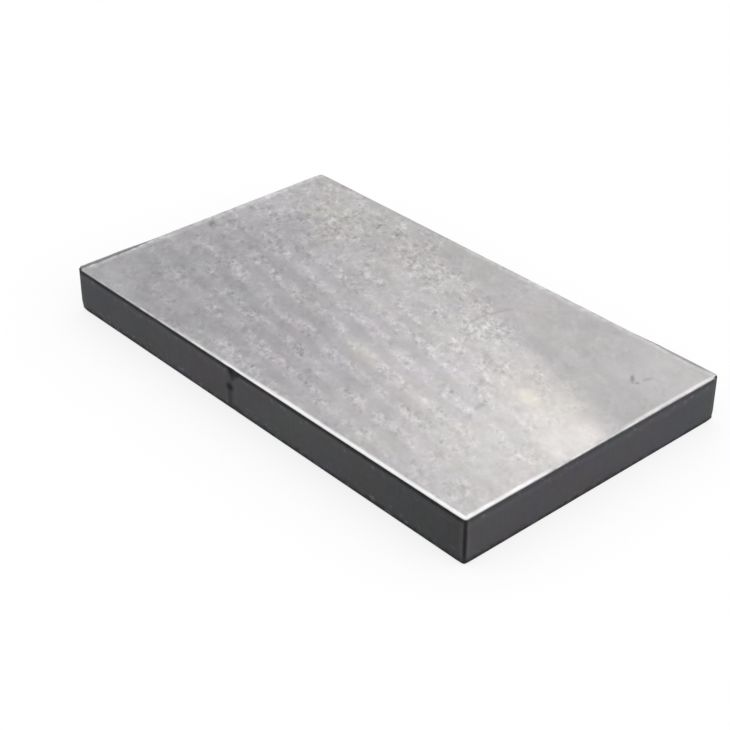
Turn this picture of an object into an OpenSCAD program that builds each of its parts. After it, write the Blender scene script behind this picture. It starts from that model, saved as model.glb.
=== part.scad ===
// A thick rectangular steel plate, cut to size, lying flat with its machined face up.
// The origin is the centre of the underside. X runs along the length, Y across the width, Z up.

/* [Plate] */
// Length of the plate, along X
plate_length = 465; // [200:1:1000]
// Width of the plate, along Y
plate_width = 270; // [100:1:600]
// Thickness of the plate, along Z
plate_thickness = 40; // [15:1:80]

/* [Edges] */
// Radius of the upright corners
corner_radius = 2.5; // [2.5:0.5:20]
// Width of the chamfer ground round the top face, measured on the face
top_chamfer = 1.2; // [0.5:0.1:2.4]
// Radius of the rounding along the bottom edges
bottom_round = 2; // [0.5:0.1:2.4]

/* [Cut mark] */
// Place along X, from the middle of the front side, of the upright mark where its cut was restarted
mark_x = -23; // [-80:1:80]
// Width of the mark at the top face
mark_width = 14; // [4:1:20]
// Depth of the mark at the top face
mark_depth = 0.8; // [0.5:0.1:1.4]
// Depth of the mark at the underside
mark_foot_depth = 0.3; // [0.1:0.1:0.4]

/* [Hidden] */
$fn = 64;
// How far a cutting shape runs past the surface that it cuts
overrun = 1;
// Centres of the corner rounds, from the middle of the plate
corner_x = plate_length / 2 - corner_radius;
corner_y = plate_width / 2 - corner_radius;
// The mark is a steep cone that stands in front of the side and bites into it
mark_radius = (pow(mark_width / 2, 2) + pow(mark_depth, 2)) / (2 * mark_depth);
mark_axis = plate_width / 2 + mark_radius - mark_depth;
mark_foot_radius = mark_radius - mark_depth + mark_foot_depth;
mark_slope = (mark_radius - mark_foot_radius) / plate_thickness;

// Half of the plate's section, from its middle out to one edge, chamfered above and rounded below
module edge_section(reach) {
    difference() {
        square([reach, plate_thickness]);
        translate([reach, plate_thickness]) rotate(45) square(top_chamfer * sqrt(2), center = true);
        difference() {
            translate([reach - bottom_round, -overrun]) square(bottom_round + overrun);
            translate([reach - bottom_round, bottom_round]) circle(r = bottom_round);
        }
    }
}

// The whole section, as long as the stretch of edge between two corners
module edge_run(reach, run) {
    rotate([90, 0, 0]) linear_extrude(run, center = true) {
        edge_section(reach);
        mirror([1, 0]) edge_section(reach);
    }
}

// The cone that cuts the mark, run past both faces at its own slope
module cut_mark() {
    translate([mark_x, -mark_axis, -overrun])
        cylinder(
            h = plate_thickness + 2 * overrun,
            r1 = mark_foot_radius - overrun * mark_slope,
            r2 = mark_radius + overrun * mark_slope
        );
}

// The plate: the same section runs along the sides and turns round each corner
module steel_plate() {
    color([0.69, 0.69, 0.7]) difference() {
        union() {
            edge_run(plate_length / 2, 2 * corner_y);
            rotate(90) edge_run(plate_width / 2, 2 * corner_x);
            for (x = [-corner_x, corner_x], y = [-corner_y, corner_y])
                translate([x, y]) rotate_extrude() edge_section(corner_radius);
        }
        cut_mark();
    }
}

steel_plate();
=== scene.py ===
"""Finishes a packed steel plate: a machined face, dark oxidised cut sides and bare broken edges."""

import math
import random
from typing import NamedTuple

import bmesh
import bpy
from bpy.props import FloatProperty, FloatVectorProperty, IntProperty, PointerProperty
from mathutils import Matrix, Vector


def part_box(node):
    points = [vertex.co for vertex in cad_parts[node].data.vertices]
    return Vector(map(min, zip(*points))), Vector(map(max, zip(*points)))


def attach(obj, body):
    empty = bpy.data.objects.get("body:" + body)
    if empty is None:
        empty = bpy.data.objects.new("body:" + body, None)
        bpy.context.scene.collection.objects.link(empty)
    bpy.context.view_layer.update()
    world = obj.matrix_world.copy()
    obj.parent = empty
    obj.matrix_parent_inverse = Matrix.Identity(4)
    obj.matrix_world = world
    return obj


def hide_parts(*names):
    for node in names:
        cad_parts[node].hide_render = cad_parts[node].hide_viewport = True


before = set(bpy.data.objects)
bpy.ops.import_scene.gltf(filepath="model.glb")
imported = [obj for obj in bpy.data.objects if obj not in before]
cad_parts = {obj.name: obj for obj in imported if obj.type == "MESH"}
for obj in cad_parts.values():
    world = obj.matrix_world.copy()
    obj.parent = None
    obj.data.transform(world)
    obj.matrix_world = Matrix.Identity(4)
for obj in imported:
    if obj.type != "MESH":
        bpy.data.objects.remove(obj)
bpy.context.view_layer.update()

bl_info = {
    "name": "Steel plate finish",
    "version": (1, 0, 0),
    "blender": (4, 5, 0),
    "location": "3D View > Sidebar > Plate",
    "description": "Models and finishes a thick steel plate on a plain stage",
    "category": "Object",
}

NODE = "steel_plate"
MM = 0.001
WHITE = (1.0, 1.0, 1.0, 1.0)
LOW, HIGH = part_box(NODE)
LENGTH, WIDTH, THICKNESS = HIGH - LOW
# Places that are nearer than this count as one
TINY = 1e-6
# How deep the patterns of the machined face reach into the plate
FACE_DEPTH = THICKNESS / 2
# Faces that point up or down by at least this much are level
LEVEL = 0.99
# Faces that point up by more than this, and aren't level, are the chamfer's
RISING = 0.3
# Edges that turn by more than this are the rims where the sides meet the face
RIM_ANGLE = math.radians(60)
# Edges that turn by less than this are shaded smooth
SMOOTH_ANGLE = math.radians(32)
CORNER_SEGMENTS = 6
FOOT_SEGMENTS = 4
# Room between a corner round and the first row of cells
GRID_GAP = 0.3 * MM
# Steps in which a chamfer fades out, and the cells that each step takes
FADE_STEPS = 5
FADE_CELLS = 2
# Just over half, so that a place always has a column of vertices within this share of a cell
OVER_HALF = 0.51
# Bottom corners, by their signs along X and Y, and how much of the full wear each one has
WORN_CORNERS = ((-1, -1, 1.0), (1, 1, 0.7), (1, -1, 0.3), (-1, 1, 0.6))
# Seed of the nicks, share of an edge's length that has them, and the range of their depths and reaches
NICK_SEED = 7
NICK_SPAN = 0.97
NICK_SHARES = (0.3, 1.0)
NICK_REACHES = (3 * MM, 6 * MM)


class Patch(NamedTuple):
    """A soft ellipse on the machined face: lengths in millimetres, its turn in radians, its strength."""

    x: float
    y: float
    reach_x: float
    reach_y: float
    turn: float = 0.0
    strength: float = 1.0


class Tints(NamedTuple):
    """Four faint tints, each as shares of red, green and blue."""

    green: tuple
    pink: tuple
    straw: tuple
    blue: tuple


SCARS = {
    "back pit": Patch(-97, 105, 6, 3.4, -0.5, 0.612),
    "middle scrape": Patch(92, 25, 15, 5, -0.45, 0.17),
    "tick, long stroke": Patch(192, 82, 8, 2.6, -0.9, 0.422),
    "tick, short stroke": Patch(197, 79, 2.4, 6, -0.9, 0.34),
    "spot beside the tick": Patch(200, 90, 3, 6, -0.3, 0.238),
    "front pit": Patch(20, -94, 4.6, 4.6, 0, 0.306),
    "left scrape": Patch(-219, -3, 11, 4.4, -0.4, 0.408),
    "right spot": Patch(141, -30, 4, 10, 0, 0.17),
}
# Bright patches on the right: partly a burnished surface, partly a painted highlight of the rear lamp
BURNISHED_AND_HIGHLIGHT = {
    "right half": Patch(165, -45, 250, 130, -0.2, 0.163),
    "right end": Patch(222, -16, 75, 40, -0.2, 0.22),
}
PALE = {
    "left back corner": Patch(-240, 140, 200, 145, 0, 0.15),
    "right back corner": Patch(240, 140, 118, 102, 0, 0.24),
    "middle": Patch(-62, 34, 130, 80, -0.3, 0.12),
    "front": Patch(15, -120, 110, 50, 0, 0.06),
}
# Straw-tinted spots; the first, the hot spot, is also a painted glint, brighter than the steel round it
STRAW_AND_GLINT = {
    "hot spot": Patch(157, 5, 19, 11, -0.3, 0.58),
    "round the hot spot": Patch(172, 8, 90, 42, -0.25, 0.1),
    "back left": Patch(-158, 87, 75, 34, -0.5, 0.16),
    "front": Patch(26, -47, 26, 16, -0.4, 0.16),
}
# A thin upright scratch, whose far end bends to the right
SCRATCH = Patch(51, 70, 1.4, 25, 0, 0.17)
# Painted shade: the front left of the face is painted darker where the rear lamp's sheen falls off
SHADED_FRONT_LEFT = Patch(-150, -82, 130, 75, 0, 0.06)
BANDED = Patch(0, -55, 290, 150, -0.15)
POLISHED = Patch(200, 0, 85, 42, -0.25, 0.5)

FACE_TINTS = Tints(
    green=(0.992, 1.004, 0.997),
    pink=(1.01, 0.995, 1.006),
    straw=(1.002, 1.001, 0.99),
    blue=(0.998, 0.999, 1.01),
)
SIDE_TINTS = Tints(
    green=(0.92, 1.03, 1.01),
    pink=(1.08, 0.95, 1.03),
    straw=(1.03, 1.01, 0.93),
    blue=(0.97, 1.0, 1.08),
)


def number(name, description, default):
    """A property that holds a plain number."""
    return FloatProperty(name=name, description=description, default=default)


def length(name, description, default):
    """A property that holds a length, in metres."""
    return FloatProperty(name=name, description=description, default=default, unit="LENGTH")


def angle(name, description, degrees):
    """A property that holds an angle."""
    default = math.radians(degrees)
    return FloatProperty(name=name, description=description, default=default, unit="ROTATION")


def power(name, description, watts):
    """A property that holds a lamp's power."""
    return FloatProperty(name=name, description=description, default=watts, unit="POWER")


def point(name, description, default):
    """A property that holds a place, in metres."""
    return FloatVectorProperty(
        name=name, description=description, default=default, subtype="TRANSLATION", unit="LENGTH"
    )


def colour(name, description, default):
    """A property that holds a linear colour."""
    return FloatVectorProperty(
        name=name, description=description, default=default, subtype="COLOR", size=3, min=0, max=1
    )


class PlateShape(bpy.types.PropertyGroup):
    """Sizes of the plate's edges and of the wear on them."""

    corner_radius: length("Corner radius", "Radius of the upright corners", 2.5 * MM)
    top_chamfer: length("Top chamfer", "Width of the chamfer ground round the top face", 1.2 * MM)
    bottom_round: length("Bottom round", "Radius of the bottom edges", 2 * MM)
    cell: length("Cell", "Size of the mesh's faces", 2.5 * MM)
    left_sharp: length("Left sharp end", "Place along Y where the left chamfer starts to fade", -65 * MM)
    back_sharp: length("Back sharp end", "Place along X where the back chamfer starts to fade", 150 * MM)
    side_unevenness: length("Side unevenness", "How far the cut sides dip", 0.25 * MM)
    side_wave: length("Side wave", "Size of the dips in the cut sides", 40 * MM)
    edge_wander: length("Edge wander", "How far the hand-ground edge dips", 0.25 * MM)
    edge_wave: length("Edge wave", "Size of the dips in the ground edge", 12 * MM)
    nicks: IntProperty(name="Nicks", description="Number of small dents along the top edges", default=12)
    nick_depth: length("Nick depth", "Depth of the deepest nick", 0.45 * MM)
    corner_wear: length("Corner wear", "How far the worst bottom corner is worn away", 0.5 * MM)
    corner_reach: length("Corner reach", "How far the wear of a bottom corner spreads", 8 * MM)
    blunt_wear: length("Blunt wear", "How far the top corner at the back is worn away", 1 * MM)
    blunt_reach: length("Blunt reach", "How far the wear of the top corner at the back spreads", 9 * MM)
    mark_x: length("Mark place", "Place of the cut mark along X", -23 * MM)
    mark_width: length("Mark width", "Width of the cut mark at the top", 14 * MM)
    mark_depth: length("Mark depth", "Depth of the cut mark at the top", 0.8 * MM)
    mark_bite: number("Mark bite", "Share of the mark's depth that the chamfer's lower rim keeps", 0.4)


class FaceTexture(bpy.types.PropertyGroup):
    """Sizes and strengths of the machined face's pattern."""

    row_pitch: length("Row pitch", "Distance from one row of feed marks to the next", 22 * MM)
    row_lean: number("Row lean", "Slope of the rows in the middle of the plate", 0.186)
    row_fan: number("Row fan", "How much steeper the rows get with each metre across", 0.58)
    row_wander: number("Row wander", "How far the rows wander from straight", 5.0)
    row_tone: number("Row tone", "How much lighter the rows are than the furrows", 0.1)
    row_calm: number("Row calm", "How far the grain fades in the furrows", 0.68)
    wander: length("Wander", "Length of the bends in the rows", 70 * MM)
    grain: length("Grain", "Length of the mottled grain", 8.2 * MM)
    grain_ratio: number("Grain ratio", "Length of the grain over its width", 1.45)
    grain_turn: angle("Grain turn", "Turn of the grain from the plate's length", -40.107)
    grain_tone: number("Grain tone", "How far the grain changes the tone", 1.45)
    pit: length("Pit", "Length of the small pits with bright rims", 8.2 * MM)
    pit_tone: number("Pit tone", "How far the pits change the tone", 0.2)
    cluster: length("Cluster", "Length of the clusters that the pits lie in", 26 * MM)
    blotch: length("Blotch", "Length of the soft blotches", 30 * MM)
    blotch_tone: number("Blotch tone", "How far the blotches change the tone", 0.48)
    cloud: length("Cloud", "Length of the broad clouds", 190 * MM)
    cloud_tone: number("Cloud tone", "How far the clouds change the tone", 0.1)
    hairline: length("Hairline", "Length of the hairlines", 60 * MM)
    hairline_tone: number("Hairline tone", "How much lighter the hairlines are", 0.03)
    left_strip: length("Left strip", "Width of the dark strip along the left sharp edge", 3.5 * MM)
    back_strip: length("Back strip", "Width of the dark strip along the back sharp edge", 1.8 * MM)
    settled_border: length("Settled border", "Place along Y where the smooth back part begins", 92 * MM)
    settled_slope: number("Settled slope", "How far that border comes forward along X", 0.34)
    settled_wander: length("Settled wander", "How far that border wanders", 30 * MM)
    # Painted shade: the smooth back part is painted darker where the rear lamp's reflection ends
    settled_shade: number("Settled tone", "How much darker the smooth back part is", 0.1)
    roughness: number("Roughness", "Roughness of the machined face", 0.34)
    relief: length("Relief", "Depth of the grain as light shows it", 0.05 * MM)


class SideTexture(bpy.types.PropertyGroup):
    """Sizes and strengths of the oxide's pattern on the cut sides."""

    drag: length("Drag line", "Width of the upright drag lines", 1.6 * MM)
    drag_tone: number("Drag tone", "How far the drag lines change the tone", 0.2)
    scale: length("Scale", "Width of the flakes of scale", 16 * MM)
    scale_tone: number("Scale tone", "How far the flakes change the tone", 0.6)
    fleck: length("Fleck", "Width of the small flecks", 6 * MM)
    fleck_tone: number("Fleck tone", "How far the flecks change the tone", 0.4)
    cloud: length("Cloud", "Width of the soft clouds", 70 * MM)
    cloud_tone: number("Cloud tone", "How far the clouds change the tone", 0.5)
    rim: length("Rim", "Height of the dark rim under the chamfer", 4.6 * MM)
    # Painted shade: the dark foot stands in for the shade where the plate meets the floor
    foot: length("Foot", "Height of the dark foot", 5.4 * MM)
    post: length("Post", "Width of the dark strip at each upright corner", 2.8 * MM)
    roughness: number("Roughness", "Roughness of the oxide", 0.58)
    relief: length("Relief", "Depth of the scale as light shows it", 0.12 * MM)


class EdgeTexture(bpy.types.PropertyGroup):
    """Sizes and strengths of the pattern on the ground edge."""

    stroke: length("Stroke", "Width of the grinding strokes", 1.3 * MM)
    tarnish: length("Tarnish", "Length of the tarnished stretches", 20 * MM)
    dash: length("Dash", "Length of the bright dashes on the right edge", 9 * MM)
    scuff: length("Scuff", "Reach of the dark scuff on the left corner", 8 * MM)
    roughness: number("Roughness", "Roughness of the bare metal", 0.34)
    relief: length("Relief", "Depth of the strokes as light shows it", 0.05 * MM)


class PlateColours(bpy.types.PropertyGroup):
    """Colours of the plate's surfaces."""

    face_cool: colour("Face, cool", "Machined face where it leans to mauve", (0.386, 0.373, 0.388))
    face_warm: colour("Face, warm", "Machined face where it leans to straw", (0.39, 0.378, 0.372))
    scar: colour("Scar", "Dark pits and scars in the machined face", (0.1, 0.1, 0.105))
    # The straw colour also paints the glint in the brightest straw spot
    straw: colour("Straw", "Heat-tinted spots in the machined face", (0.56, 0.53, 0.44))
    oxide: colour("Oxide", "Oxide on the cut sides", (0.033, 0.0328, 0.0363))
    # Also the colour of painted shade on the sides' foot and on the chamfer's outer rim
    oxide_dark_and_shade: colour("Dark oxide", "Oxide in the mark and along the edges", (0.008, 0.008, 0.009))
    # Also the colour of the painted highlight next to the edges
    bare: colour("Bare edge", "Bare metal of the broken edges", (0.92, 0.92, 0.92))
    bare_dull: colour("Dull edge", "Broken edge where it has tarnished", (0.45, 0.45, 0.46))


class StageSettings(bpy.types.PropertyGroup):
    """Camera, floor and light."""

    azimuth: angle("Azimuth", "Turn of the camera", 48.198)
    elevation: angle("Elevation", "Height angle of the camera", 32.461)
    roll: angle("Roll", "Lean of the camera", 0.092)
    distance: length("Distance", "From the camera to the point that it looks at", 1.3576)
    target: point("Target", "Point that the camera looks at", (0.01929, -0.03545, 0.02))
    lens: number("Lens", "Focal length, in millimetres, on the sensor", 84.887)
    sensor: number("Sensor", "Width of the sensor, in millimetres", 36.0)
    floor_size: length("Floor", "Side of the floor", 14.0)
    floor_gap: length("Floor gap", "How far the floor lies below the plate", 0.05 * MM)
    floor_colour: colour("Floor colour", "Colour of the floor", (0.95, 0.95, 0.95))
    floor_glow: number("Floor glow", "Share of plain white in the floor as seen", 0.75)
    sky: number("Sky", "Strength of the light from all round", 1.0)
    rear_place: point("Rear lamp place", "Where the rear lamp stands", (-1.0, 1.36, 1.28))
    rear_size: length("Rear lamp size", "Width of the rear lamp", 0.6)
    rear_power: power("Rear lamp power", "Power of the rear lamp", 1.0)
    side_place: point("Side lamp place", "Where the side lamp stands", (2.26, 0.34, 1.05))
    side_size: length("Side lamp size", "Width of the side lamp", 2.0)
    side_power: power("Side lamp power", "Power of the side lamp", 11.4)


class Wire:
    """A socket's value. Python's operators on it add Math nodes."""

    def __init__(self, nodes, socket):
        self.nodes = nodes
        self.socket = socket

    def maths(self, operation, first, second=0.0):
        """A Math node on one or two values."""
        return self.nodes.node("ShaderNodeMath", {"operation": operation}, {0: first, 1: second})

    def __add__(self, other):
        return self.maths("ADD", self, other)

    def __sub__(self, other):
        return self.maths("SUBTRACT", self, other)

    def __rsub__(self, other):
        return self.maths("SUBTRACT", other, self)

    def __mul__(self, other):
        return self.maths("MULTIPLY", self, other)

    def __abs__(self):
        return self.maths("ABSOLUTE", self)

    __radd__ = __add__
    __rmul__ = __mul__


class Nodes:
    """A node tree that is built from Python expressions."""

    def __init__(self, tree):
        self.tree = tree
        tree.nodes.clear()

    def node(self, kind, settings=None, inputs=None, output=0):
        """Adds a node, sets its settings, then its sockets' values or links, and gives one output."""
        made = self.tree.nodes.new(kind)
        for name, value in (settings or {}).items():
            setattr(made, name, value)
        for name, value in (inputs or {}).items():
            if isinstance(value, Wire):
                self.tree.links.new(value.socket, made.inputs[name])
            else:
                made.inputs[name].default_value = value
        return Wire(self, made.outputs[output]) if made.outputs else None

    def ramp(self, value, start, end, low=0.0, high=1.0):
        """A soft step from low to high as the value goes from start to end."""
        sockets = {"Value": value, "From Min": start, "From Max": end, "To Min": low, "To Max": high}
        return self.node("ShaderNodeMapRange", {"interpolation_type": "SMOOTHSTEP"}, sockets)

    def most(self, values):
        """The largest of several values."""
        result = values[0]
        for value in values[1:]:
            result = result.maths("MAXIMUM", result, value)
        return result


class Finish(Nodes):
    """A material's nodes, with the places and patterns that the plate's surfaces share."""

    def __init__(self, name):
        self.material = bpy.data.materials.new(name)
        self.material.use_nodes = True
        super().__init__(self.material.node_tree)
        self.place = self.node("ShaderNodeTexCoord", output="Object")
        self.x, self.y, self.z = (self.along(axis) for axis in "XYZ")
        self.from_left = self.x - LOW.x
        self.from_right = HIGH.x - self.x
        self.from_front = self.y - LOW.y
        self.from_back = HIGH.y - self.y
        self.from_top = HIGH.z - self.z

    def along(self, axis):
        """The place along one axis."""
        return self.node("ShaderNodeSeparateXYZ", None, {0: self.place}, axis)

    def turned(self, cell, turn=0.0, centre=(0, 0, 0)):
        """Places counted in cells of a given size, on axes turned about Z."""
        sockets = {"Vector": self.place, "Location": centre, "Rotation": (0, 0, turn), "Scale": cell}
        return self.node("ShaderNodeMapping", {"vector_type": "TEXTURE"}, sockets)

    def noise(self, cell, turn=0.0, detail=2.0, roughness=0.5, seed=0):
        """Noise about 0, from about -0.5 to 0.5, with features of a cell's size."""
        sockets = {
            "Vector": self.turned(cell, turn, (seed, seed, seed)),
            "Scale": 1.0,
            "Detail": detail,
            "Roughness": roughness,
        }
        return self.node("ShaderNodeTexNoise", {"noise_dimensions": "3D"}, sockets, "Fac") - 0.5

    def streaks(self, size, ratio, turn=0.0, detail=2.0, roughness=0.5, seed=0):
        """Noise over the plate's face whose features have a length and a ratio of length to width."""
        return self.noise((size, size / ratio, FACE_DEPTH * 3), turn, detail, roughness, seed)

    def flakes(self, width, height, detail=2.0, roughness=0.5, seed=0):
        """Noise over the plate's sides whose features have a width and a height."""
        return self.noise((width, width, height), 0.0, detail, roughness, seed)

    def spot(self, centre, reach, turn=0.0):
        """1 at a place, falling softly to 0 at an ellipsoid round it."""
        sockets = {0: self.turned(reach, turn, centre)}
        far = self.node("ShaderNodeVectorMath", {"operation": "LENGTH"}, sockets, "Value")
        return self.ramp(far, 1.0, 0.25)

    def patch(self, patch):
        """A patch of the machined face: its strength at its middle, falling softly to 0."""
        centre = (patch.x * MM, patch.y * MM, HIGH.z)
        reach = (patch.reach_x * MM, patch.reach_y * MM, FACE_DEPTH)
        return self.spot(centre, reach, patch.turn) * patch.strength

    def strongest(self, patches):
        """The strongest of several patches."""
        return self.most([self.patch(patch) for patch in patches.values()])

    def mix(self, factor, first, second):
        """A colour between two colours, which are inputs 6 and 7 and output 2 of the Mix node."""
        first, second = (c if isinstance(c, Wire) else (*c, 1.0) for c in (first, second))
        return self.node("ShaderNodeMix", {"data_type": "RGBA"}, {0: factor, 6: first, 7: second}, 2)

    def toned(self, shade, tone):
        """A colour made lighter or darker."""
        return self.node("ShaderNodeVectorMath", {"operation": "SCALE"}, {0: shade, "Scale": tone})

    def tinted(self, shade, tint):
        """A colour times a tint."""
        return self.node("ShaderNodeVectorMath", {"operation": "MULTIPLY"}, {0: shade, 1: tint})

    def drifting(self, shade, tints, pink, blue):
        """A colour whose tint drifts from green to pink, and from straw to blue."""
        pinker = self.mix(pink, tints.green, tints.pink)
        bluer = self.mix(blue, tints.straw, tints.blue)
        return self.tinted(shade, self.tinted(pinker, bluer))

    def bump(self, height, distance):
        """A normal from a height in the range 0 to 1."""
        sockets = {"Height": height, "Distance": distance, "Strength": 1.0}
        return self.node("ShaderNodeBump", None, sockets)

    def surface(self, sockets):
        """Ends the material in one shader with these sockets."""
        shader = self.node("ShaderNodeBsdfPrincipled", None, sockets)
        self.node("ShaderNodeOutputMaterial", None, {"Surface": shader})
        return self.material


def face_scars(finish):
    """The single dark pits, scrapes and spots of the machined face, and one bent scratch."""
    ragged = finish.ramp(finish.streaks(4 * MM, 1.2, seed=5), -0.24, 0.06)
    bend = finish.ramp(finish.y, 60 * MM, 95 * MM) * 8 * MM
    aside = abs(finish.x - SCRATCH.x * MM - bend)
    along = abs(finish.y - SCRATCH.y * MM)
    scratch = finish.ramp(aside, SCRATCH.reach_x * MM, 0.3 * MM)
    scratch = scratch * finish.ramp(along, SCRATCH.reach_y * MM, 18 * MM)
    return finish.most([finish.strongest(SCARS) * ragged, scratch * SCRATCH.strength])


def face_rims(finish, shape, texture, grain):
    """Dark strips on the top where the far edges were left as cut, and a worn line along the back."""
    inner = shape.top_chamfer
    ragged = grain * 2 * MM
    left_width = finish.ramp(finish.y - shape.left_sharp, 18 * MM, -24 * MM) * texture.left_strip
    left = finish.ramp(finish.from_left - inner - left_width + ragged, 0.7 * MM, -0.7 * MM)
    left = left * finish.ramp(finish.from_left, 0.2 * MM, 1.8 * MM, 0.55, 1.0)
    back_width = finish.ramp(finish.x - shape.back_sharp, -10 * MM, 55 * MM) * texture.back_strip
    back = finish.ramp(finish.from_back - inner - back_width + ragged, 0.5 * MM, -0.5 * MM)
    back = back * finish.ramp(finish.from_right, 3 * MM, 24 * MM, 0.4, 1.0)
    worn = finish.ramp(abs(finish.from_back - 3.2 * MM), 2.4 * MM, 0.6 * MM)
    worn = worn * finish.ramp(finish.x, -20 * MM, -110 * MM) * finish.ramp(grain, -0.1, 0.1)
    return finish.most([left * 0.7, back * 0.4, worn * 0.2])


def rubbed_and_highlit_strip(finish, blotch):
    """How far the metal next to each edge is made bright: partly a rubbed margin, partly a painted
    highlight that carries the chamfer's bright line inwards, most on the near edges.
    """
    x, y = finish.x, finish.y
    front = finish.ramp(finish.from_front, 4.2 * MM, 1 * MM) * finish.ramp(x, -150 * MM, 80 * MM)
    spared = finish.ramp(abs(y + 10 * MM), 62 * MM, 30 * MM)
    right = finish.ramp(finish.from_right, 4.6 * MM, 1.2 * MM) * (1.0 - spared * 0.9)
    right = right * finish.ramp(y, 20 * MM, 60 * MM, 0.72, 0.55)
    left = finish.ramp(finish.from_left, 11 * MM, 4 * MM)
    left = left * finish.ramp(y, -20 * MM, -100 * MM, 1.0, 1.45)
    back = finish.ramp(finish.from_back, 9 * MM, 2 * MM)
    back = back * finish.ramp(x, -120 * MM, 20 * MM, 0.1, 0.7)
    ragged = finish.ramp(finish.noise((7 * MM, 7 * MM, FACE_DEPTH), seed=9), -0.14, 0.14, 0.35, 1.0)
    far = finish.most([left, back]) * ragged
    return finish.most([front * 0.92, right, far * 0.36]) * (1.0 + blotch * 1.6)


def feed_wave(finish, texture, wander):
    """A wave from -1 to 1 across the rows of feed marks, which lean, fan out and wander."""
    across = finish.y + finish.x * (finish.y * texture.row_fan + texture.row_lean)
    phase = across * (2 * math.pi / texture.row_pitch) + wander * texture.row_wander
    return finish.node("ShaderNodeMath", {"operation": "SINE"}, {0: phase})


def liveliness(finish, texture, settled_and_shaded, furrow):
    """How much the grain shows: in clusters, and less where the face is smooth and in the furrows."""
    x, y = finish.x, finish.y
    cluster = finish.streaks(texture.cluster, 1.8, -0.6, detail=3.0, roughness=0.6, seed=8)
    cluster = finish.ramp(cluster, -0.06, 0.08, 0.34, 1.0)
    right_end = finish.ramp(x, 20 * MM, 190 * MM, 1.0, 0.62)
    left_end = finish.ramp(x, -110 * MM, -230 * MM, 1.0, 0.92)
    left_corner = finish.ramp(x * 0.6 + y, -250 * MM, -110 * MM, 0.4, 1.0)
    calm = right_end * left_end * left_corner * (1.0 - settled_and_shaded * 0.72) * (1.0 - finish.patch(POLISHED))
    return cluster * calm * (1.0 - furrow * texture.row_calm)


def small_pits(finish, texture):
    """Small pits that are dark in the middle and bright round the rim."""
    pitting = finish.streaks(texture.pit, texture.grain_ratio, texture.grain_turn, detail=1.5, seed=1)
    rims = finish.ramp(abs(pitting - 0.04), 0.06, 0.01)
    cores = finish.most([finish.ramp(pitting, 0.09, 0.2), finish.ramp(pitting, -0.1, -0.22) * 0.8])
    return rims - cores * 0.75


def face_steel(finish, colours, cloud, settled_and_shaded):
    """The face's colour at an even tone: cool or warm steel with drifting tints and straw spots, one of
    which is also a painted glint.
    """
    pink = finish.ramp(finish.streaks(50 * MM, 1.5, 0.2, seed=6), -0.16, 0.16)
    blue = finish.ramp(finish.streaks(36 * MM, 1.4, -0.5, seed=7), -0.18, 0.18)
    drift = cloud * 0.6 + finish.streaks(48 * MM, 1.6, 0.3, seed=4) * 0.6
    warmth = finish.ramp(drift + finish.x * 0.75 + finish.y * 1.25, -0.2, 0.24)
    warmth = warmth * (1.0 - settled_and_shaded * 0.35)
    steel = finish.mix(warmth, colours.face_cool, colours.face_warm)
    steel = finish.drifting(steel, FACE_TINTS, pink, blue)
    return finish.mix(finish.strongest(STRAW_AND_GLINT), steel, colours.straw)


def machined_face(colours, shape, texture):
    """Bright steel with rows of feed marks, mottled grain, faint tints and a few scars, with painted
    highlights on the right and along the edges, and painted shade on the smooth back part and the front
    left.
    """
    finish = Finish("machined_face")
    on_top = finish.ramp(finish.z, THICKNESS * 0.4, THICKNESS * 0.6)
    wander = finish.streaks(texture.wander, 1.5)
    border = texture.settled_border - finish.x * texture.settled_slope + wander * texture.settled_wander
    # The smooth back part has less grain, and it is also painted darker as shade where the rear lamp's
    # reflection ends
    settled_and_shaded = finish.ramp(finish.y - border, -13 * MM, 15 * MM) * on_top
    wave = feed_wave(finish, texture, wander)
    crest = finish.ramp(wave, -0.7, 0.6)
    banded = finish.patch(BANDED)
    lively = liveliness(finish, texture, settled_and_shaded, banded * (1.0 - crest))
    grain = finish.streaks(texture.grain, texture.grain_ratio, texture.grain_turn, roughness=0.55)
    pits = small_pits(finish, texture) * lively
    blotch = finish.streaks(texture.blotch, 1.7, -0.25, seed=3)
    cloud = finish.streaks(texture.cloud, 1.4, 0.4, detail=1.0)
    hairline = finish.ramp(finish.streaks(texture.hairline, 66, 0.5, detail=1.0), 0.2, 0.3)
    burnish_and_highlight = sum(finish.patch(patch) for patch in BURNISHED_AND_HIGHLIGHT.values())
    tone = (
        1.0
        + (crest - 0.5) * banded * texture.row_tone
        + grain * lively * texture.grain_tone
        + pits * texture.pit_tone
        + blotch * texture.blotch_tone
        + cloud * texture.cloud_tone
        + hairline * texture.hairline_tone
        # Painted highlight on the right, partly a real burnished patch
        + burnish_and_highlight * (1.0 - settled_and_shaded) * (1.0 + blotch)
        + finish.strongest(PALE)
        # Painted shade at the front left
        - finish.patch(SHADED_FRONT_LEFT)
        # Painted shade on the smooth back part
        - settled_and_shaded * texture.settled_shade
    )
    steel = finish.toned(face_steel(finish, colours, cloud, settled_and_shaded), tone)
    # Painted highlight next to the edges, partly a real rubbed margin
    steel = finish.mix(rubbed_and_highlit_strip(finish, blotch), steel, colours.bare)
    dark = finish.most([face_scars(finish), face_rims(finish, shape, texture, grain)]) * on_top
    height = 0.5 + grain * lively * 0.5 + wave * banded * 0.1 - hairline * 0.3
    return finish.surface({
        "Base Color": finish.mix(dark, steel, colours.scar),
        "Metallic": 1.0,
        "Roughness": texture.roughness + blotch * 0.12 - pits * 0.03 + dark * 0.2,
        "Normal": finish.bump(height, texture.relief),
    })


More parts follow.
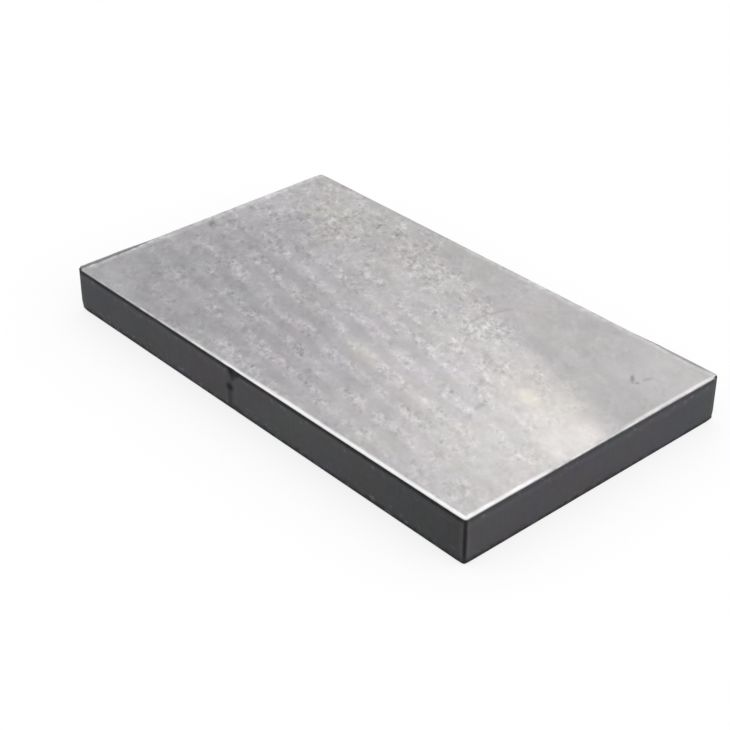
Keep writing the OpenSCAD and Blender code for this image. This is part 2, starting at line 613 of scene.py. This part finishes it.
def side_mark(finish, shape, scale, drag):
    """The dark chain of the cut mark: a wedge at the top, a blob, a line and a smear at the foot."""
    x, z = finish.x - shape.mark_x, finish.z
    ragged = scale * 5 * MM + drag * 1.5 * MM
    wedge_foot = 27 * MM
    lean = x - 3.5 * MM - (z - 39 * MM) * 0.36
    wedge = finish.ramp(abs(lean) + ragged - (z - wedge_foot) * 0.85, 2.6 * MM, -2.6 * MM)
    wedge = wedge * finish.ramp(z, wedge_foot, 36 * MM, 0.5, 0.95)
    blob = finish.spot((shape.mark_x - 4 * MM, LOW.y, 20 * MM), (5.8 * MM, 1, 5.6 * MM)) * 0.8
    line = finish.ramp(abs(x + 3.5 * MM) + ragged * 0.5, 4.6 * MM, 1 * MM)
    line = line * finish.ramp(z, wedge_foot, 21 * MM) * 0.4
    smear = finish.spot((shape.mark_x + 6 * MM, LOW.y, 3 * MM), (13 * MM, 1, 4.5 * MM)) * 0.6
    on_front = finish.ramp(finish.from_front, 8 * MM, 4 * MM)
    return finish.most([wedge, blob, line, smear]) * on_front


def cut_side(colours, shape, texture):
    """Dark oxide with faint upright drag lines, darker along its edges and in the mark. The dark foot
    and the darker long side are painted shade, and the light line beside each corner is a painted
    reflection.
    """
    finish = Finish("cut_side")
    x, y, z = finish.x, finish.y, finish.z
    drag = finish.flakes(texture.drag, 60 * MM)
    scale = finish.flakes(texture.scale, 9 * MM, detail=4.0, roughness=0.6)
    fleck = finish.flakes(texture.fleck, 4 * MM, seed=1)
    cloud = finish.flakes(texture.cloud, 40 * MM)
    ragged = scale * 5 * MM + fleck * 4 * MM
    long_side = finish.ramp(abs(x), LENGTH / 2 - 1 * MM, LENGTH / 2 - 4 * MM)
    below = finish.from_top - shape.top_chamfer
    rim = finish.ramp(below - ragged * 0.5, texture.rim, 2 * MM) * (0.2 + long_side * 0.58)
    below_rim = finish.ramp(abs(below - 6.2 * MM), 3.5 * MM, 0.8 * MM)
    # Painted shade along the foot, where the plate stands on the floor
    foot = finish.ramp(z + ragged * 1.2, texture.foot, 2 * MM) * (0.64 + long_side * 0.06)
    corner = LENGTH / 2 + WIDTH / 2
    from_corner = corner - abs(x) - abs(y)
    post = finish.ramp(from_corner, texture.post, texture.post / 2)
    # A painted reflection: the light line beside each corner, where the round would catch the bright
    # surroundings
    beside_post_highlight = finish.ramp(abs(from_corner - texture.post * 1.5), 1.8 * MM, 0.4 * MM)
    near_front_corner = finish.ramp(x - y, corner - 150 * MM, corner)
    high_part = finish.ramp(z, 27 * MM, 33 * MM)
    low_part = finish.ramp(z, 13 * MM, 7 * MM) * (0.3 + long_side * 0.7)
    bright_fleck = finish.ramp(fleck, 0.07, 0.22) * finish.most([high_part, low_part])
    tone = (
        1.04
        # Painted shade: the long side is painted darker than the short side
        - long_side * 0.09
        + drag * texture.drag_tone
        + scale * texture.scale_tone
        + fleck * texture.fleck_tone
        + cloud * texture.cloud_tone
        + bright_fleck
        + below_rim * (0.2 - long_side * 0.08)
        # Painted reflection beside each corner
        + beside_post_highlight * 0.3
        - near_front_corner * long_side * 0.45
    )
    pink = finish.ramp(finish.flakes(60 * MM, 45 * MM, seed=2), -0.16, 0.16)
    blue = finish.ramp(finish.flakes(40 * MM, 40 * MM, seed=3), -0.16, 0.16)
    oxide = finish.toned(finish.drifting(colours.oxide, SIDE_TINTS, pink, blue), tone)
    dark = finish.most([rim, foot, post * 0.75, side_mark(finish, shape, scale, drag)])
    return finish.surface({
        "Base Color": finish.mix(dark, oxide, colours.oxide_dark_and_shade),
        "Metallic": dark,
        "Roughness": texture.roughness + scale * 0.2,
        "Specular IOR Level": 0.35,
        "Normal": finish.bump(0.5 + drag * 0.4 + scale * 0.6, texture.relief),
    })


def bare_edge(colours, shape, texture):
    """Bare ground metal, duller to the left, dark where an edge was left as cut, with painted shade on
    its outer rim.
    """
    finish = Finish("bare_edge")
    stroke = finish.flakes(texture.stroke, 6 * MM)
    tarnish = finish.flakes(texture.tarnish, texture.tarnish, detail=3.0, roughness=0.6)
    dash = finish.flakes(texture.dash, texture.dash, seed=1)
    on_left = finish.ramp(finish.from_left, 6 * MM, 3 * MM)
    on_right = finish.ramp(finish.from_right, 6 * MM, 2 * MM)
    on_back = finish.ramp(finish.from_back, 6 * MM, 3 * MM)
    left = finish.ramp(finish.x, 65 * MM, -185 * MM)
    right = on_right * finish.ramp(finish.y, -95 * MM, -35 * MM)
    dull = tarnish * 0.9 + stroke * 0.4 + left * 0.62 + right * (0.34 + dash * 0.65)
    dull = finish.ramp(dull, 0.05, 0.75)
    metal = finish.toned(finish.mix(dull, colours.bare, colours.bare_dull), 1.0 + stroke * 0.12)
    ragged = tarnish * 20 * MM
    # Painted shade on the chamfer's outer half, which moves its bright reflection inwards
    outer = finish.ramp(finish.from_top, 0.5 * MM, 1.1 * MM) * (0.3 + on_right * 0.3)
    dark = finish.most([
        on_back * finish.ramp(finish.x - shape.back_sharp + ragged, -55 * MM, 5 * MM),
        on_left * finish.ramp(finish.y - shape.left_sharp + ragged, 55 * MM, -5 * MM),
        outer,
    ])
    metal = finish.mix(dark, metal, colours.oxide_dark_and_shade)
    scuff = finish.spot((LOW.x, LOW.y, HIGH.z), (texture.scuff, texture.scuff, texture.scuff)) * 0.9
    return finish.surface({
        "Base Color": finish.mix(scuff, metal, colours.scar),
        "Metallic": 1.0,
        "Roughness": texture.roughness + dull * 0.14 + stroke * 0.1,
        "Normal": finish.bump(0.5 + stroke * 0.6, texture.relief),
    })


def pick(piece, kind, test):
    """Selects, in edit mode, only the vertices or edges that pass a test."""
    modes = {"verts": "VERT", "edges": "EDGE"}
    bpy.ops.mesh.select_mode(type=modes[kind])
    bpy.ops.mesh.select_all(action="DESELECT")
    mesh = bmesh.from_edit_mesh(piece.data)
    found = [item for item in getattr(mesh, kind) if test(item)]
    for item in found:
        item.select_set(True)
    bmesh.update_edit_mesh(piece.data)
    if not found:
        raise RuntimeError(f"nothing to select among the {kind} of {piece.name}")


def runs_along(axis, low, high):
    """A test for edges that run along one axis from low to high."""

    def test(edge):
        first, second = (vert.co for vert in edge.verts)
        apart = first - second
        apart[axis] = 0
        ends = sorted((first[axis], second[axis]))
        return apart.length < TINY and abs(ends[0] - low) < TINY and abs(ends[1] - high) < TINY

    return test


def at_corner(edge):
    """A test for edges that lie in one of the four upright corners."""
    gaps = [HIGH - Vector((abs(vert.co.x), abs(vert.co.y), HIGH.z)) for vert in edge.verts]
    return all(gap.length < TINY for gap in gaps)


def rim_at(height):
    """A test for the edges where the sides meet the face at one height."""

    def test(edge):
        level = all(abs(vert.co.z - height) < TINY for vert in edge.verts)
        return level and edge.calc_face_angle() > RIM_ANGLE

    return test


def model_plate(shape):
    """A box cut into small cells, with its corners rounded and its edges broken."""
    bpy.ops.object.select_all(action="DESELECT")
    bpy.ops.mesh.primitive_cube_add(size=1.0, location=(0, 0, 0))
    piece = bpy.context.object
    piece.name = "finished_plate"
    bpy.ops.object.mode_set(mode="EDIT")
    bpy.ops.transform.resize(value=(LENGTH, WIDTH, THICKNESS))
    bpy.ops.transform.translate(value=(LOW + HIGH) / 2)
    border = shape.corner_radius + GRID_GAP
    for axis in range(3):
        normal = Vector((0, 0, 0))
        normal[axis] = 1.0
        stops = (LOW[axis] + border, (LOW[axis] + HIGH[axis]) / 2, HIGH[axis] - border)
        for stop in stops:
            bpy.ops.mesh.select_all(action="SELECT")
            bpy.ops.mesh.bisect(plane_co=normal * stop, plane_no=normal, threshold=TINY)
        for low, high in zip(stops, stops[1:]):
            pick(piece, "edges", runs_along(axis, low, high))
            bpy.ops.mesh.subdivide(number_cuts=round((high - low) / shape.cell) - 1)
    pick(piece, "edges", at_corner)
    bpy.ops.mesh.bevel(offset=shape.corner_radius, segments=CORNER_SEGMENTS, profile=0.5)
    pick(piece, "edges", rim_at(HIGH.z))
    bpy.ops.mesh.bevel(offset=shape.top_chamfer, segments=1)
    pick(piece, "edges", rim_at(LOW.z))
    bpy.ops.mesh.bevel(offset=shape.bottom_round, segments=FOOT_SEGMENTS, profile=0.5)
    return piece


def leave_sharp(piece, shape):
    """Fades the chamfer out on the left edge towards the front and on the back edge to the right."""
    inner = HIGH - Vector((shape.top_chamfer, shape.top_chamfer, 0))
    shift = shape.top_chamfer / FADE_STEPS
    for step in range(FADE_STEPS):
        fade = step * FADE_CELLS * shape.cell

        def on_left(vert, start=shape.left_sharp - fade):
            return vert.co.x < TINY - inner.x and vert.co.y < start and vert.co.z > HIGH.z - TINY

        def on_back(vert, start=shape.back_sharp + fade):
            return vert.co.y > inner.y - TINY and vert.co.x > start and vert.co.z > HIGH.z - TINY

        pick(piece, "verts", on_left)
        bpy.ops.transform.translate(value=(-shift, 0, 0))
        pick(piece, "verts", on_back)
        bpy.ops.transform.translate(value=(0, shift, 0))


def paint(piece, face, edge, side):
    """Gives each of the mesh's faces its material by the way it points."""
    for material in (face, edge, side):
        piece.data.materials.append(material)
    for polygon in piece.data.polygons:
        if abs(polygon.normal.z) > LEVEL:
            polygon.material_index = 0
        elif polygon.normal.z > RISING:
            polygon.material_index = 1
        else:
            polygon.material_index = 2


def push_softly(shift, reach, falloff):
    """Moves what is selected, and what lies round it less and less."""
    bpy.ops.transform.translate(
        value=shift,
        use_proportional_edit=True,
        proportional_edit_falloff=falloff,
        proportional_size=reach,
    )


def dent(piece, place, shift, reach, falloff):
    """Pushes the vertex nearest a place, and those round it less and less."""
    mesh = bmesh.from_edit_mesh(piece.data)
    nearest = min(mesh.verts, key=lambda vert: (vert.co - place).length_squared).index
    pick(piece, "verts", lambda vert: vert.index == nearest)
    push_softly(shift, reach, falloff)


def cut_mark(piece, shape):
    """Cuts the mark into the front side: narrow all the way down, wider and deeper in its upper half."""
    foot = LOW.z + shape.bottom_round
    narrow = (foot, shape.mark_depth * 0.4, shape.mark_width * 0.6)
    wide = (foot + THICKNESS / 2, shape.mark_depth * 0.6, shape.mark_width)
    for lowest, depth, width in (narrow, wide):

        def in_mark(vert, lowest=lowest):
            near = abs(vert.co.x - shape.mark_x) < shape.cell * OVER_HALF
            return near and vert.co.y < LOW.y + shape.top_chamfer / 2 and vert.co.z > lowest

        pick(piece, "verts", in_mark)
        push_softly((0, depth, 0), width / 2, "SMOOTH")


def straighten_rims(piece, shape):
    """Sets the chamfer's upper rim straight past the mark again, and its lower rim in part."""
    upper = (LOW.y + shape.top_chamfer, HIGH.z, 0.0)
    lower = (LOW.y, HIGH.z - shape.top_chamfer, shape.mark_bite)
    for rim_y, rim_z, kept in (upper, lower):
        straight = Vector((0, rim_y, rim_z))

        def on_rim(vert, straight=straight):
            near = abs(vert.co.x - shape.mark_x) < shape.mark_width
            level = abs(vert.co.z - straight.z) < TINY
            return near and level and vert.co.y < straight.y + shape.mark_depth + TINY

        pick(piece, "verts", on_rim)
        bpy.ops.transform.resize(value=(1, kept, 1), center_override=straight)


def wear_edges(piece, shape):
    """Wears the bottom corners away, blunts the top corner at the back and nicks the top edges."""
    for sign_x, sign_y, share in WORN_CORNERS:
        place = Vector((sign_x * HIGH.x, sign_y * HIGH.y, LOW.z))
        shift = Vector((-sign_x, -sign_y, 1)) * shape.corner_wear * share
        dent(piece, place, shift, shape.corner_reach, "SMOOTH")
    back_corner = Vector((LOW.x, HIGH.y, HIGH.z))
    dent(piece, back_corner, Vector((1, -1, 0)) * shape.blunt_wear, shape.blunt_reach, "SMOOTH")
    draw = random.Random(NICK_SEED)
    for _ in range(shape.nicks):
        along = draw.uniform(-NICK_SPAN, NICK_SPAN)
        side = Vector(draw.choice(((along, -1, 1), (along, 1, 1), (-1, along, 1), (1, along, 1))))
        inwards = Vector([-step if abs(step) == 1 else 0 for step in side])
        shift = inwards * shape.nick_depth * draw.uniform(*NICK_SHARES)
        dent(piece, side * HIGH, shift, draw.uniform(*NICK_REACHES), "SHARP")


def dip(piece, name, cell, depth, test):
    """Dips the part of the piece's surface that passes a test by soft noise, never outwards."""
    group = piece.vertex_groups.new(name=name)
    group.add([vert.index for vert in piece.data.vertices if test(vert.co)], 1.0, "REPLACE")
    pattern = bpy.data.textures.new(name, "CLOUDS")
    pattern.noise_scale = cell
    change = piece.modifiers.new(name, "DISPLACE")
    change.texture = pattern
    change.texture_coords = "LOCAL"
    change.vertex_group = name
    change.strength = depth
    change.mid_level = 1.0
    bpy.ops.object.modifier_apply(modifier=name)


def roughen(piece, shape):
    """Makes the cut sides uneven and the ground edge wander."""
    # The borders lie a little past the bottom round and the two rims of the chamfer
    foot = LOW.z + shape.bottom_round * 1.5
    rim = HIGH.z - shape.top_chamfer * 1.05
    edge = HIGH - Vector((1, 1, 0)) * shape.top_chamfer * 1.2

    def on_side(place):
        return foot < place.z < rim

    def on_edge(place):
        return place.z > rim and (abs(place.x) > edge.x or abs(place.y) > edge.y)

    dip(piece, "side_unevenness", shape.side_wave, shape.side_unevenness, on_side)
    dip(piece, "edge_wander", shape.edge_wave, shape.edge_wander, on_edge)


class PLATE_OT_make_plate(bpy.types.Operator):
    """Model the plate, wear its edges and give it its finishes"""

    bl_idname = "plate.make_plate"
    bl_label = "Make plate"

    def execute(self, context):
        scene = context.scene
        shape = scene.plate_shape
        colours = scene.plate_colours
        piece = model_plate(shape)
        leave_sharp(piece, shape)
        bpy.ops.object.mode_set(mode="OBJECT")
        face = machined_face(colours, shape, scene.plate_face)
        edge = bare_edge(colours, shape, scene.plate_edges)
        side = cut_side(colours, shape, scene.plate_sides)
        paint(piece, face, edge, side)
        bpy.ops.object.mode_set(mode="EDIT")
        cut_mark(piece, shape)
        straighten_rims(piece, shape)
        wear_edges(piece, shape)
        bpy.ops.object.mode_set(mode="OBJECT")
        roughen(piece, shape)
        bpy.ops.object.shade_smooth_by_angle(angle=SMOOTH_ANGLE)
        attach(piece, "root")
        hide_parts(NODE)
        return {"FINISHED"}


def floor_material(stage):
    """A pale floor that looks white where it is seen and keeps a soft shadow."""
    material = bpy.data.materials.new("studio_floor")
    material.use_nodes = True
    nodes = Nodes(material.node_tree)
    diffuse = nodes.node("ShaderNodeBsdfDiffuse", None, {"Color": (*stage.floor_colour, 1.0)})
    white = nodes.node("ShaderNodeEmission", None, {"Color": WHITE, "Strength": 1.0})
    rays = ("Is Camera Ray", "Is Glossy Ray", "Is Transmission Ray")
    seen = nodes.most([nodes.node("ShaderNodeLightPath", output=ray) for ray in rays])
    mixed = nodes.node("ShaderNodeMixShader", None, {0: seen * stage.floor_glow, 1: diffuse, 2: white})
    nodes.node("ShaderNodeOutputMaterial", None, {"Surface": mixed})
    return material


def light_world(strength):
    """Even white light from all round."""
    world = bpy.data.worlds.new("studio_world")
    bpy.context.scene.world = world
    world.use_nodes = True
    sky = Nodes(world.node_tree)
    background = sky.node("ShaderNodeBackground", None, {"Color": WHITE, "Strength": strength})
    sky.node("ShaderNodeOutputWorld", None, {"Surface": background})


def softbox(name, place, size, watts, mirrored):
    """A round soft lamp that faces the plate, and shows in bare metal or not."""
    lamp = bpy.data.lights.new(name, "AREA")
    lamp.shape = "DISK"
    lamp.size = size
    lamp.energy = watts
    holder = bpy.data.objects.new(name, lamp)
    bpy.context.scene.collection.objects.link(holder)
    holder.visible_glossy = mirrored
    holder.location = place
    holder.rotation_euler = (-Vector(place)).to_track_quat("-Z", "Y").to_euler()


def photo_camera(stage):
    """A camera that looks at the target from an azimuth and an elevation."""
    eye = bpy.data.cameras.new("photo_camera")
    eye.lens = stage.lens
    eye.sensor_width = stage.sensor
    camera = bpy.data.objects.new("photo_camera", eye)
    bpy.context.scene.collection.objects.link(camera)
    turn, rise = stage.azimuth, stage.elevation
    back = Vector((math.sin(turn) * math.cos(rise), -math.cos(turn) * math.cos(rise), math.sin(rise)))
    right = Vector((math.cos(turn), math.sin(turn), 0))
    axes = Matrix((right, back.cross(right), back)).transposed()
    lean = Matrix.Rotation(stage.roll, 3, "Z")
    place = Vector(stage.target) + back * stage.distance
    camera.matrix_world = Matrix.Translation(place) @ (axes @ lean).to_4x4()
    return camera


class PLATE_OT_make_stage(bpy.types.Operator):
    """Set the floor, the light and the camera"""

    bl_idname = "plate.make_stage"
    bl_label = "Make stage"

    def execute(self, context):
        stage = context.scene.plate_stage
        bpy.ops.object.select_all(action="DESELECT")
        floor_place = (0, 0, LOW.z - stage.floor_gap)
        bpy.ops.mesh.primitive_plane_add(size=stage.floor_size, location=floor_place)
        floor = context.object
        floor.name = "studio_floor"
        floor.data.materials.append(floor_material(stage))
        light_world(stage.sky)
        softbox("rear_softbox", stage.rear_place, stage.rear_size, stage.rear_power, True)
        softbox("side_softbox", stage.side_place, stage.side_size, stage.side_power, False)
        context.scene.camera = photo_camera(stage)
        context.scene.view_settings.view_transform = "Standard"
        return {"FINISHED"}


class PLATE_PT_panel(bpy.types.Panel):
    """The plate's sizes and colours, and the buttons that make it"""

    bl_label = "Steel plate"
    bl_idname = "PLATE_PT_panel"
    bl_space_type = "VIEW_3D"
    bl_region_type = "UI"
    bl_category = "Plate"

    def draw(self, context):
        for operator in (PLATE_OT_make_plate, PLATE_OT_make_stage):
            self.layout.operator(operator.bl_idname)
        for group in GROUPS:
            settings = getattr(context.scene, group)
            column = self.layout.column()
            for name in settings.__annotations__:
                column.prop(settings, name)


GROUPS = {
    "plate_shape": PlateShape,
    "plate_face": FaceTexture,
    "plate_sides": SideTexture,
    "plate_edges": EdgeTexture,
    "plate_colours": PlateColours,
    "plate_stage": StageSettings,
}
CLASSES = (*GROUPS.values(), PLATE_OT_make_plate, PLATE_OT_make_stage, PLATE_PT_panel)


def register():
    """Adds the classes and the scene's settings."""
    for cls in CLASSES:
        bpy.utils.register_class(cls)
    for name, group in GROUPS.items():
        setattr(bpy.types.Scene, name, PointerProperty(type=group))


def unregister():
    """Takes the settings and the classes away again."""
    for name in GROUPS:
        delattr(bpy.types.Scene, name)
    for cls in reversed(CLASSES):
        bpy.utils.unregister_class(cls)


def main():
    """Makes the plate and its stage."""
    register()
    bpy.ops.plate.make_plate()
    bpy.ops.plate.make_stage()


if __name__ == "__main__":
    main()
